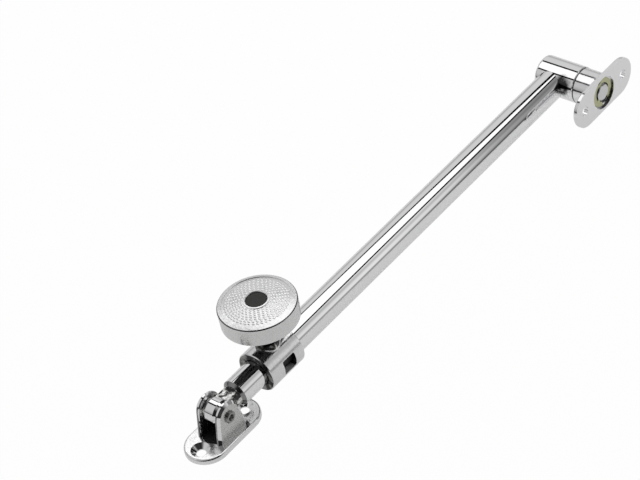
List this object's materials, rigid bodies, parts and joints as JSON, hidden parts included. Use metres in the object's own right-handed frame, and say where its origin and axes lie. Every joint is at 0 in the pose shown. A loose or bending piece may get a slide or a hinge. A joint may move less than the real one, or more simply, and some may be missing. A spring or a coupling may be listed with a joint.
{
  "type": "lid stay",
  "caption": "Chromed telescopic lid stay: pivoting base bracket, sliding rod and tube with a clamping knob, and a swivelling flange.",
  "frame": {"origin": "middle of the base bracket's mounting face, right below the pivot pin", "axes": "+X along the rod and the tube towards the elbow, +Z out of the surface that carries the bracket and out through the knob; the flange faces -Y"},
  "size_m": [0.289, 0.0424, 0.0471],
  "materials": {
    "cast_chrome": "polished chrome on a casting",
    "tube_chrome": "polished chrome on drawn tube and rod",
    "knob_chrome": "polished chrome, diamond pattern on the face",
    "flange_chrome": "chrome, flat face slightly satin",
    "pin_steel": "bright turned steel",
    "dark_steel": "dark oiled steel",
    "clip_zinc": "yellow passivated spring steel",
    "liner_black": "black nylon",
    "plug_grey": "dark grey moulded plastic",
    "guide_white": "natural acetal",
    "pad_brass": "turned brass"
  },
  "bodies": {
    "bracket": {"base_bracket": "cast_chrome", "pivot_pin": "pin_steel"},
    "inner_rod": {"rod": "tube_chrome", "guide_ring": "guide_white", "guide_screw": "pin_steel"},
    "liner": {"brake_liner": "liner_black"},
    "tube": {"outer_tube": "tube_chrome", "collar": "cast_chrome", "elbow": "cast_chrome", "swivel_pin": "pin_steel", "swivel_washer": "dark_steel", "spring_washer": "dark_steel", "retaining_clip": "clip_zinc"},
    "pad": {"pressure_pad": "pad_brass"},
    "hand_knob": {"clamp_stud": "dark_steel", "knob": "knob_chrome", "knob_plug": "plug_grey"},
    "end_flange": {"flange": "flange_chrome"}
  },
  "joints": [
    {"name": "bracket_swing", "type": "hinge", "parent": "bracket", "child": "inner_rod", "pos_m": [0, 0, 0.0128], "axis": [0, -1, 0], "range_deg": [0, 180]},
    {"name": "extend", "type": "slide", "parent": "inner_rod", "child": "liner", "axis": [1, 0, 0], "range_m": [0, 0.14]},
    {"name": "roll", "type": "hinge", "parent": "liner", "child": "tube", "pos_m": [0.035, 0, 0.0128], "axis": [1, 0, 0], "continuous": true},
    {"name": "pad_travel", "type": "slide", "parent": "tube", "child": "pad", "axis": [0, 0, 1], "range_m": [0, 0.001]},
    {"name": "knob_turn", "type": "hinge", "parent": "pad", "child": "hand_knob", "pos_m": [0.035, 0, 0.0128], "axis": [0, 0, 1], "range_deg": [0, 360]},
    {"name": "flange_swivel", "type": "hinge", "parent": "tube", "child": "end_flange", "pos_m": [0.247, 0, 0.0128], "axis": [0, 1, 0], "continuous": true}
  ],
  "couplings": [
    {"joint": "pad_travel", "follows": "knob_turn", "m_per_rad": 0.00015914}
  ]
}
